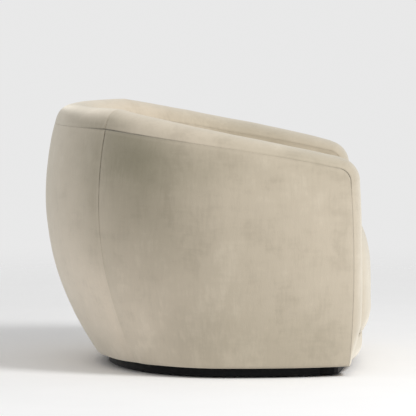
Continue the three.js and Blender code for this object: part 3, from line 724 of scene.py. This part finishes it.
# Top band: domed over the wall, turned down at the arm fronts
band = {
    "rearCrown": 0.052, "frontCrown": 0.026, "faceCrown": 0.024, "hemCrown": 0.006, "hemCrownTopZ": 0.150,
    "crownFall": 0.7, "roundPower": 2.2, "swellPower": 0.6, "clear": 0.0003, "backInset": 0.09,
    "width": 0.108, "follow": 0.014, "backLean": 0.24, "sideLean": 0.34, "faceLean": 0.50, "innerLean": -0.20,
    "armLength": 0.72, "armEnd": 0.985, "faceLength": 0.48, "backLength": 0.9, "girth": 0.19,
    "cornerSteps": 12, "seed": 41.0,
}


def bandShape(stations, across, lift):
    angle, z, tilt, rise = (stations[..., k, None] for k in range(4))
    a = across[None, :]
    dome = (1 - np.abs(2 * a - 1) ** band["roundPower"]) ** band["swellPower"]
    height = band["clear"] + lift * (rise - band["clear"]) * dome
    # the dome leaves each seam in line with the panel below it
    upright = lerp(band["backLean"], band["sideLean"], np.abs(np.cos(angle)))
    outerLean = lerp(upright, band["faceLean"], np.sin(tilt) ** 2)
    follow = lift * height * np.exp(-height / band["follow"]) / band["width"]
    a = a + follow * np.where(a < 0.5, outerLean, band["innerLean"] * np.cos(tilt) ** 2)
    base = lerp(outerPoint(angle, z), innerPoint(angle, z), a[..., None])
    up = placesAt(0 * tilt, -np.sin(tilt), np.cos(tilt))
    return base + up * height[..., None]


def armStations():
    tangentAngle = float(angleAtY(tangentY))
    t = seamSteps(band["armLength"])
    arm = lerp(form.cornerAngle, tangentAngle, t[t < band["armEnd"]] / band["armEnd"])
    y = seamY(arm)
    run = fallAt(y)
    rise = lerp(band["rearCrown"], band["frontCrown"], run ** band["crownFall"])
    parts = [np.stack([arm, seamZ(y), seamSlope * run, rise], -1)]
    u = np.linspace(0, 1, band["cornerSteps"])
    tilt = lerp(seamSlope, math.pi / 2, u)
    z = cornerZ + form.seamRadius * np.cos(tilt)
    angle = angleAtY(cornerY - form.seamRadius * np.sin(tilt))
    parts.append(np.stack([angle, z, tilt, lerp(band["frontCrown"], band["faceCrown"], u)], -1))
    u = seamSteps(band["faceLength"])
    z = lerp(cornerZ, form.hemZ, u[u > 0.02])
    swell = smooth((z - form.hemZ) / (band["hemCrownTopZ"] - form.hemZ))
    rise = lerp(band["hemCrown"], band["faceCrown"], swell)
    parts.append(np.stack([angleAtY(frontLineY(z)), z, np.full_like(z, math.pi / 2), rise], -1))
    return np.concatenate(parts)


def buildBand(name, stations, side, edges, replaced, seed):
    t = seamSteps(band["girth"])
    across = (1 - np.cos(np.pi * t)) / 2
    surface = mirror(bandShape(stations, across, 1.0), side)
    middle = mirror(bandShape(stations, np.full_like(across, 0.5), 0.0), side)
    outside = surface - middle + np.array([0, 0, 1e-4])
    front, _, marks = upholstered(surface, outside, edges, seed, kind="band")
    # the band's inner side takes the pads' nap and their painted light and shade
    padNapAndShade = napAndShadeOver(surface, "pad", innerPad["seed"])
    marks["napAndShade"] = lerp(marks["napAndShade"], padNapAndShade, smooth((across - 0.45) / 0.4)[None])
    inset = lerp(band["backInset"], 1 - band["backInset"], across)
    back = mirror(bandShape(stations, inset, 0.0), side)
    coverFrame(name, front, back, marks, replaced)


def buildTopBands():
    edges = {"start": innerSeam, "end": hemForm, "low": seamForm, "high": innerSeam}
    stations = armStations()
    for side, word in sides:
        buildBand(f"arm_band_cover_{word}", stations, side, edges, [f"arm_band_{word}"], band["seed"] + side)
    angle = lerp(form.cornerAngle, math.pi - form.cornerAngle, seamSteps(band["backLength"]))
    level = np.full_like(angle, form.rearSeamZ)
    stations = np.stack([angle, level, 0 * level, np.full_like(level, band["rearCrown"])], -1)
    edges = {"start": innerSeam, "end": innerSeam, "low": backSeam, "high": innerSeam}
    buildBand("back_band_cover", stations, 1, edges, ["back_band"], band["seed"])


buildTopBands()
print("top band built")


# Front rail cover, between the arm fronts and below the cushion
railCover = {
    "half": 0.3855, "endY": -0.388, "bow": 0.040, "topZ": 0.095, "tuck": 0.015, "tuckHeight": 0.034,
    "lip": 0.004, "lipDepth": 0.010, "thickness": 0.020, "length": 0.77, "height": 0.075, "seed": 61.0,
}


def railLineY(x):
    return railCover["endY"] - railCover["bow"] * (1 - (x / form.seatHalf) ** 2)


def buildRailCover():
    u, v = gridOf(railCover["length"], railCover["height"])
    x = lerp(-railCover["half"], railCover["half"], u)
    z = lerp(form.hemZ, railCover["topZ"], v)
    line = railLineY(x)
    tuck = railCover["tuck"] * np.maximum(0, 1 - (z - form.hemZ) / railCover["tuckHeight"]) ** 2
    lip = railCover["lip"] * np.maximum(0, 1 - (railCover["topZ"] - z) / railCover["lipDepth"]) ** 2
    surface = placesAt(x, line + tuck + lip, z)
    outside = np.broadcast_to(np.array([0.0, -1.0, 0.0]), surface.shape)
    edges = {"start": frontSeam, "end": frontSeam, "low": hemForm, "high": hemForm}
    front, _, marks = upholstered(surface, outside, edges, railCover["seed"], wave=0.6)
    back = placesAt(x, line + railCover["thickness"], z)
    coverFrame("front_rail_cover_cloth", front, back, marks, ["front_rail_cover"])


buildRailCover()


# Loose seat cushion: crowned, with a seam round the top, one round the foot and a zip at the back
cushion = {
    "half": 0.411, "back": 0.261, "front": -0.450, "reach": 0.900, "bow": 0.092, "sharpness": 10,
    "bottomZ": 0.0969, "topZ": 0.408, "crown": 0.015, "puff": 0.004, "foot": 0.024, "footShare": 0.14,
    "shoulder": 0.040, "shoulderShare": 0.4, "shoulderPower": 2.6, "boxing": 0.33, "topReach": 0.33,
    "slack": 0.004, "topCap": 0.011, "sideCap": 0.0045, "underRings": 24, "topRings": 40,
    # the seam darkness is a painted shade in the cushion's seam grooves
    "seamRadius": 0.006, "seamDepth": 0.004, "seamShade": 0.3, "seed": 71.0,
    "wave": 0.0020, "waveScale": 6.0, "fineWave": 0.0006, "fineScale": 24.0, "waveClear": 0.05,
}
zipForm = {
    "span": math.radians(36), "z": 0.215, "tape": 0.022, "proud": 0.0007, "gap": 0.0002, "backing": 0.0012,
    "pitch": 0.0026, "tooth": 0.0036, "toothOut": 0.0016, "toothThickness": 0.0006, "margin": 0.006,
}
slider = {
    "body": (0.0055, 0.0010, 0.0042), "bodyOut": 0.0019,
    "tab": (0.011, 0.0004, 0.0028), "tabOut": 0.0024, "tabAhead": 0.012,
}
outwardRound = placesAt(np.cos(roundAngles), np.sin(roundAngles), 0.0)


def planOutline(size):
    c, s = np.cos(roundAngles), np.sin(roundAngles)
    wall = 1 / np.hypot(c / size["half"], s / np.where(s > 0, size["back"], size["reach"]))
    safe = np.where(s < -1e-6, -s, 1.0)
    line = (form.centreY - size["front"]) / safe * (1 - size["bow"] * c ** 2)
    k = size["sharpness"]
    cut = (wall ** -k + line ** -k) ** (-1 / k)
    return np.where(s < -1e-6, cut, wall)


def ringPoints(radius, z):
    return placesAt(radius * np.cos(roundAngles), form.centreY + radius * np.sin(roundAngles), z)


def ringSolid(rings):
    # rings: (count, around, 3), closed by a fan at each end
    count, around = rings.shape[:2]
    points = np.concatenate([rings.reshape(-1, 3), rings[:1].mean(1), rings[-1:].mean(1)])
    index = np.arange(count * around).reshape(count, around)
    ahead = np.roll(index, -1, axis=1)
    faces = np.stack([index[:-1], ahead[:-1], ahead[1:], index[1:]], -1).reshape(-1, 4).tolist()
    start, end = count * around, count * around + 1
    faces += [[start, int(ahead[0, k]), int(index[0, k])] for k in range(around)]
    faces += [[end, int(index[-1, k]), int(ahead[-1, k])] for k in range(around)]
    return points, faces


def cushionSeam(distance):
    return roll(distance, cushion["seamRadius"], cushion["seamDepth"])


def cushionRings(radius):
    # each ring with its distance from the nearest seam and how far it may be puffed
    rings = []
    underRings = cushion["underRings"] // thinning
    for share in np.linspace(0.06, 0.985, underRings):  # the underside, from the middle out
        rings.append((ringPoints(share * (radius - cushion["foot"]), cushion["bottomZ"]), 1.0, 0.0))
    for t in seamSteps(cushion["boxing"]):  # the wall, from the foot up
        foot = cushion["foot"] * max(0, 1 - t / cushion["footShare"]) ** 2
        rise = max(0, t - cushion["shoulderShare"]) / (1 - cushion["shoulderShare"])
        inset = foot + cushion["shoulder"] * rise ** cushion["shoulderPower"]
        dip = cushionSeam((1 - t) * cushion["boxing"]) + cushionSeam(t * cushion["boxing"])
        reach = radius - inset - dip - cushion["slack"] * math.sin(math.pi * t)
        ring = ringPoints(reach, lerp(cushion["bottomZ"], cushion["topZ"], t))
        rings.append((ring, min(t, 1 - t) * cushion["boxing"], cushion["sideCap"]))
    wallRows = slice(underRings, len(rings))
    near = np.array(grid["near"][1:]) / cushion["topReach"]
    steps = np.concatenate([near, np.linspace(0.07, 0.97, cushion["topRings"] // thinning)])
    for t in steps:  # the top, inwards
        share, edge = 1 - t, t * cushion["topReach"]
        height = cushion["topZ"] + cushion["crown"] * (1 - share ** 2) + cushion["puff"] * (1 - share ** 9)
        ring = ringPoints(share * (radius - cushion["shoulder"]), height - cushionSeam(edge))
        rings.append((ring, edge, cushion["topCap"]))
    return *(np.array(values) for values in zip(*rings)), wallRows


def buildCushion():
    rings, seam, cap, wallRows = cushionRings(planOutline(cushion))
    around = len(roundAngles)
    seams = np.repeat(seam[:, None], around, 1)
    wave = cushion["wave"] * noiseOver(rings, cushion["waveScale"], cushion["seed"])
    wave = wave + cushion["fineWave"] * noiseOver(rings, cushion["fineScale"], cushion["seed"] + 7)
    isTop = (np.arange(len(rings)) >= wallRows.stop)[:, None, None]
    clear = smooth(seams / cushion["waveClear"]) * (seams < 0.9)
    rings = rings + np.where(isTop, upward, outwardRound[None]) * (wave * clear)[..., None]
    points, faces = ringSolid(rings)
    held = np.where(seams > 0.9, 1, 1 - smooth(seams / padding["seamHold"]))
    hold = np.concatenate([held.reshape(-1), [1, 0]])
    points = puffed(points, faces, hold, np.concatenate([np.repeat(cap, around), [0, cushion["topCap"]]]))
    marks = {**plainMarks(len(points)), "seamDistance": np.concatenate([seams.reshape(-1), [1.0, 1.0]]),
             "seamShade": np.full(len(points), cushion["seamShade"])}
    piece = meshPiece("seat_cushion_cover", points, faces, materials["velvet"], marks)
    settle(piece, "cushion", ["seat_cushion"])
    buildZip(points[: len(rings) * around].reshape(rings.shape)[wallRows])


def onWall(wall, columns, z):
    return np.array([[np.interp(z, wall[:, k, 2], wall[:, k, axis]) for axis in range(3)] for k in columns])


def pointAlong(line, runs, run):
    return np.array([np.interp(run, runs, line[:, axis]) for axis in range(3)])


def buildZip(wall):
    columns = np.nonzero(np.abs(roundAngles - math.pi / 2) < zipForm["span"])[0]
    outward = outwardRound[columns]
    heights = zipForm["z"] + zipForm["tape"] * np.array([-0.5, -0.46, -0.2, 0.2, 0.46, 0.5])
    lifts = zipForm["proud"] * np.array([0.2, 1, 1, 1, 1, 0.2]) + zipForm["gap"]
    tape = np.array([onWall(wall, columns, z) + outward * lift for z, lift in zip(heights, lifts)])
    tape = np.moveaxis(tape, 0, 1)
    back = tape - outward[:, None] * zipForm["backing"]
    piece = closedGrid("cushion_zip_tape", tape, back, plainMarks(tape.shape[:2]), materials["zipTape"])
    settle(piece, "cushion")
    buildZipTeeth(onWall(wall, columns, zipForm["z"]), outward)


def buildZipTeeth(line, outward):
    runs = runLengths(line, 0)
    points, faces = [], []
    half = (zipForm["pitch"] * 0.21, zipForm["toothThickness"], zipForm["tooth"] / 2)
    for k, run in enumerate(np.arange(zipForm["margin"], runs[-1] - zipForm["margin"], zipForm["pitch"] / 2)):
        place, out = pointAlong(line, runs, run), pointAlong(outward, runs, run)
        rise = (1 if k % 2 else -1) * zipForm["tooth"] * 0.22  # the teeth of the two sides mesh
        centre = place + out * zipForm["toothOut"] + upward * rise
        addBlock(points, faces, centre, (np.cross(out, upward), out, upward), half)
    place, out = line[len(line) // 7], outward[len(line) // 7]
    along = np.cross(out, upward)
    addBlock(points, faces, place + out * slider["bodyOut"], (along, out, upward), slider["body"])
    hanging = place + out * slider["tabOut"] + along * slider["tabAhead"]
    addBlock(points, faces, hanging, (along, out, upward), slider["tab"])
    piece = meshPiece("cushion_zip_teeth", np.array(points), faces, materials["nylon"])
    settle(piece, "cushion")


def addBlock(points, faces, centre, axes, half, cut=0.72):
    # a block with its corners cut back, so its edges catch light
    start = len(points)
    for level, shrink in ((-1, cut), (-cut, 1), (cut, 1), (1, cut)):
        for a, c in ((-1, -1), (1, -1), (1, 1), (-1, 1)):
            sideways = axes[0] * half[0] * a * shrink
            points.append(centre + axes[1] * half[1] * level + sideways + axes[2] * half[2] * c * shrink)
    for layer in range(3):
        for k in range(4):
            a, b = start + layer * 4 + k, start + layer * 4 + (k + 1) % 4
            faces.append([a, b, b + 4, a + 4])
    faces.append([start + 3, start + 2, start + 1, start])
    faces.append([start + 12, start + 13, start + 14, start + 15])


buildCushion()
print("cushion built")


# Deck pad: needled felt, quilted in wide diamonds, under the cushion
deck = {
    "half": 0.410, "back": 0.260, "front": -0.358, "reach": 0.900, "bow": 0.03, "sharpness": 26,
    "bottomZ": 0.0926, "thickness": 0.0039, "pitch": 0.110, "quilt": 0.0016, "quiltWidth": 0.010,
    "edge": 0.006, "meanRadius": 0.4, "rings": 90,
}


def buildDeckPad():
    radius = planOutline(deck)
    inward = np.concatenate([[0, 0.003, 0.006, 0.012], np.linspace(0.02, 0.97, deck["rings"] // thinning)])
    rings = np.array([ringPoints(radius * (1 - t), deck["bottomZ"]) for t in inward])
    x, y = rings[..., 0], rings[..., 1]
    lines = [np.abs((along / deck["pitch"]) % 1 - 0.5) * deck["pitch"] for along in (x + y, x - y)]
    dip = deck["quilt"] * sum(np.exp(-(line / deck["quiltWidth"]) ** 2) for line in lines)
    dip = np.minimum(dip, deck["quilt"] * 1.2)
    rim = deck["edge"] * 0.25 * (1 - smooth(inward[:, None] * deck["meanRadius"] / deck["edge"]))
    under, over = rings.copy(), rings.copy()
    under[..., 2] += rim * 0.5
    over[..., 2] += deck["thickness"] - dip - rim
    points, faces = ringSolid(np.concatenate([under[::-1], over]))
    piece = meshPiece("seat_deck_quilt", points, faces, materials["felt"])
    settle(piece, "frame", ["seat_deck_pad"])


# A strip of velvet joins the deck pad to the front rail
deckStrip = {
    "half": 0.3865, "bottomZ": 0.0931, "topZ": 0.0957, "sag": 0.0006, "lap": 0.0185, "gap": 0.0004,
    "pile": 0.0002, "pileScale": 60, "seed": 7, "napAndShade": 0.94,
}


def buildDeckStrip():
    u, v = np.meshgrid(seamSteps(railCover["length"]), np.linspace(0, 1, 9), indexing="ij")
    x = lerp(-deckStrip["half"], deckStrip["half"], u)
    ahead = railLineY(x) + deckStrip["lap"]
    depth = form.centreY - deck["front"]
    behind = deck["front"] + depth * deck["bow"] * x ** 2 / (x ** 2 + depth ** 2) - deckStrip["gap"]
    y = lerp(ahead, behind, v)
    pile = deckStrip["pile"] * noiseOver(placesAt(x, y, 0.0), deckStrip["pileScale"], deckStrip["seed"])
    front = placesAt(x, y, deckStrip["topZ"] - deckStrip["sag"] * np.sin(np.pi * v) - pile)
    back = placesAt(x, y, deckStrip["bottomZ"])
    coverFrame("deck_front_strip", front, back, plainMarks(x.shape, deckStrip["napAndShade"]), ())


buildDeckPad()
buildDeckStrip()


# Dust cover: thin cloth stretched and stapled under the base, its rim folded under
dust = {
    "half": 0.467, "back": 0.286, "front": -0.296, "reach": 0.900, "bow": 0.02, "sharpness": 10,
    "z": 0.0289, "thickness": 0.0006, "slack": 0.0002, "fold": 0.014, "meanRadius": 0.4, "rings": 50,
    "wrinkle": 0.00025, "wrinkleScale": 30.0, "staplePitch": 0.055, "stapleInset": 0.007,
    "staple": (0.005, 0.0003, 0.0004), "seed": 91.0,
}


def buildDustCover():
    radius = planOutline(dust)
    foldShares = (dust["fold"] + np.array([-0.001, 0, 0.001])) / dust["meanRadius"]
    plain = np.linspace(0.05, 0.97, dust["rings"] // thinning)
    inward = np.concatenate([[0, 0.0008], foldShares, plain])
    topZ = dust["z"] + dust["thickness"] + dust["slack"]
    lower, upper = [], []
    for t in inward:
        folded = t * dust["meanRadius"] < dust["fold"]
        rise = 0 if folded else dust["thickness"] * 0.4
        lower.append(ringPoints(radius * (1 - t), dust["z"] + rise))
        upper.append(ringPoints(radius * (1 - t), topZ))
    lower, upper = np.array(lower), np.array(upper)
    ripple = dust["wrinkle"] * noiseOver(lower * [1, 1, 0], dust["wrinkleScale"], dust["seed"])
    ripple = ripple * smooth(inward / 0.2)[:, None]
    lower[..., 2] += ripple
    upper[..., 2] = np.minimum(upper[..., 2] + ripple, topZ)
    points, faces = ringSolid(np.concatenate([lower[::-1], upper]))
    piece = meshPiece("dust_cover_cloth", points, faces, materials["cambric"])
    settle(piece, "frame", ["dust_cover"])
    x, y, _ = ringPoints(radius, 0.0).T
    buildStaples(ringPoints(radius - dust["stapleInset"], dust["z"]))


def buildStaples(line):
    closed = np.concatenate([line, line[:1]])
    runs = runLengths(closed, 0)
    count = round(runs[-1] / dust["staplePitch"])
    half = dust["staple"]
    points, faces = [], []
    for run in np.linspace(0, runs[-1], count, endpoint=False):
        here, there = (pointAlong(closed, runs, r) for r in (run, run + 0.001))
        along = (there - here) / (np.linalg.norm(there - here) + 1e-9)
        addBlock(points, faces, here - upward * half[1], (along, upward, np.cross(along, upward)), half)
    piece = meshPiece("dust_cover_staples", np.array(points), faces, materials["steel"])
    settle(piece, "frame")


buildDustCover()
print("deck pad and dust cover built")


# Floor, light and camera
studio = {
    "floorColour": (1.0, 1.0, 1.0), "floorBounce": (0.80, 0.80, 0.80), "wallColour": (0.812, 0.812, 0.812),
    "fadeStart": 1.0, "fadeEnd": 4.6, "floorRadius": 5.0, "floorSides": 96, "floorRings": 28, "specks": 0.08,
    "fillColour": (1.0, 1.0, 1.0), "fillStrength": 0.565,
    "keyPlace": (-3.06, -3.78, 4.83), "keySize": 2.0, "keyPower": 234.0, "aim": (0.0, 0.0, 0.38),
}


def seenDirectly(paint):
    rays = ("Is Camera Ray", "Is Glossy Ray", "Is Transmission Ray")
    camera, glossy, clear = (paint.node("ShaderNodeLightPath", out=name) for name in rays)
    return camera.maths("MINIMUM", camera + glossy + clear, 1.0)


def buildFloor():
    around, rings = studio["floorSides"], studio["floorRings"]
    angles = np.linspace(0, 2 * np.pi, around, endpoint=False)
    radii = studio["floorRadius"] * np.linspace(0.04, 1, rings)
    points = placesAt(np.outer(radii, np.cos(angles)), np.outer(radii, np.sin(angles)), 0.0)
    index = np.arange(rings * around).reshape(rings, around)
    ahead = np.roll(index, -1, axis=1)
    faces = np.stack([index[:-1], index[1:], ahead[1:], ahead[:-1]], -1).reshape(-1, 4).tolist()
    centre = rings * around
    faces += [[centre, int(index[0, k]), int(ahead[0, k])] for k in range(around)]
    points = np.concatenate([points.reshape(-1, 3), [[0, 0, 0]]])
    paint = newPaint("studioFloor")
    place = paint.place()
    radius = paint.node("ShaderNodeVectorMath", {"operation": "LENGTH"}, {0: place}, out="Value")
    specks = paint.noise(place, 3.0, 2.0).between(0.3, 0.7, 0.0, studio["specks"])
    colour = paint.mix(specks, studio["floorColour"], studio["wallColour"])
    colour = paint.mix(seenDirectly(paint), studio["floorBounce"], colour)
    shader = paint.surface(colour, 0.75, Specular_IOR_Level=0.2)
    clear = paint.node("ShaderNodeBsdfTransparent")
    fade = radius.between(studio["fadeStart"], studio["fadeEnd"])
    mixed = paint.node("ShaderNodeMixShader", {}, {0: fade, 1: shader, 2: clear})
    floor = meshPiece("studio_floor", points, faces, paint.show(mixed))


def buildWorld():
    world = bpy.data.worlds.new("studio")
    bpy.context.scene.world = world
    paint = Paint(world)
    lit = paint.node("ShaderNodeBackground", {}, {
        "Color": colourOf(studio["fillColour"]), "Strength": studio["fillStrength"]})
    shown = paint.node("ShaderNodeBackground", {}, {"Color": colourOf(studio["wallColour"]), "Strength": 1.0})
    mixed = paint.node("ShaderNodeMixShader", {}, {0: seenDirectly(paint), 1: lit, 2: shown})
    paint.show(mixed, "ShaderNodeOutputWorld")


def aimed(name, data, place, target):
    holder = linked(name, data)
    holder.location = place
    holder.rotation_euler = (Vector(target) - Vector(place)).to_track_quat("-Z", "Y").to_euler()
    return holder


def buildKeyLight():
    light = bpy.data.lights.new("key", "AREA")
    light.shape, light.size, light.energy = "DISK", studio["keySize"], studio["keyPower"]
    aimed("key", light, studio["keyPlace"], studio["aim"])


view = {"distance": 12.6, "height": 1.222, "aimZ": 0.422, "frameWidth": 1.1556}


def buildCamera():
    camera = bpy.data.cameras.new("camera")
    place, target = (-view["distance"], 0, view["height"]), (0, 0, view["aimZ"])
    camera.lens = camera.sensor_width * (Vector(target) - Vector(place)).length / view["frameWidth"]
    bpy.context.scene.camera = aimed("camera", camera, place, target)


buildFloor()
buildWorld()
buildKeyLight()
buildCamera()
bpy.context.scene.view_settings.view_transform = "Standard"
print("studio built")

bpy.context.view_layer.update()
